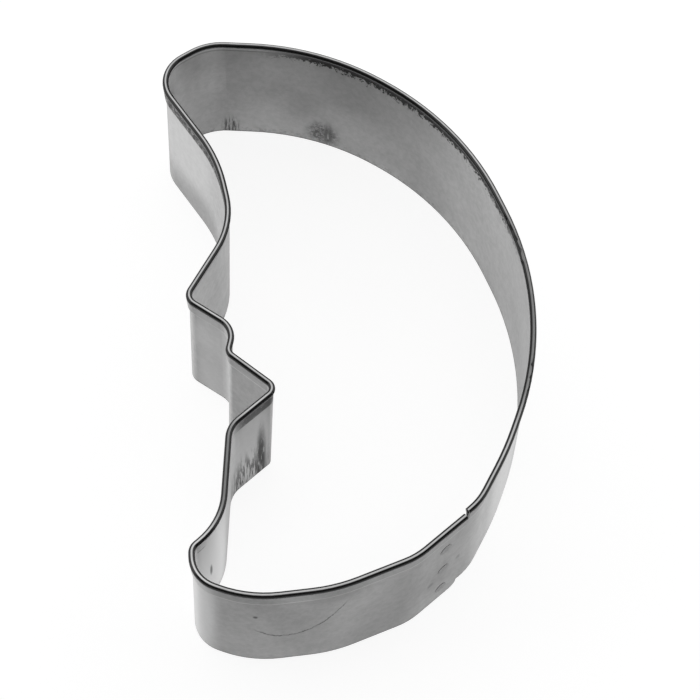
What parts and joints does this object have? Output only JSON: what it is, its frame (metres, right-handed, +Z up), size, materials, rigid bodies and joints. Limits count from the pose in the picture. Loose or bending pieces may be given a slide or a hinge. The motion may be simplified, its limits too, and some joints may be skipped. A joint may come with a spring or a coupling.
{
  "type": "cookie cutter",
  "caption": "Half-moon cookie cutter with a face in profile, bent from one tinplate strip with a hemmed top edge, a plain cutting edge and a spot-welded lap seam",
  "frame": {"origin": "middle of the bounding box, on the surface that the cutting edge stands on", "axes": "+Z up, from the cutting edge to the hem; +Y along the moon's length towards the forehead's horn; the face looks towards -X"},
  "size_m": [0.0592, 0.0996, 0.0254],
  "materials": {
    "tinplate": "bright rolled tinplate, lightly smudged",
    "weld": "dull pressed weld spots"
  },
  "bodies": {
    "root": {"cutter_band": "tinplate", "spot_welds": "weld"}
  },
  "joints": []
}
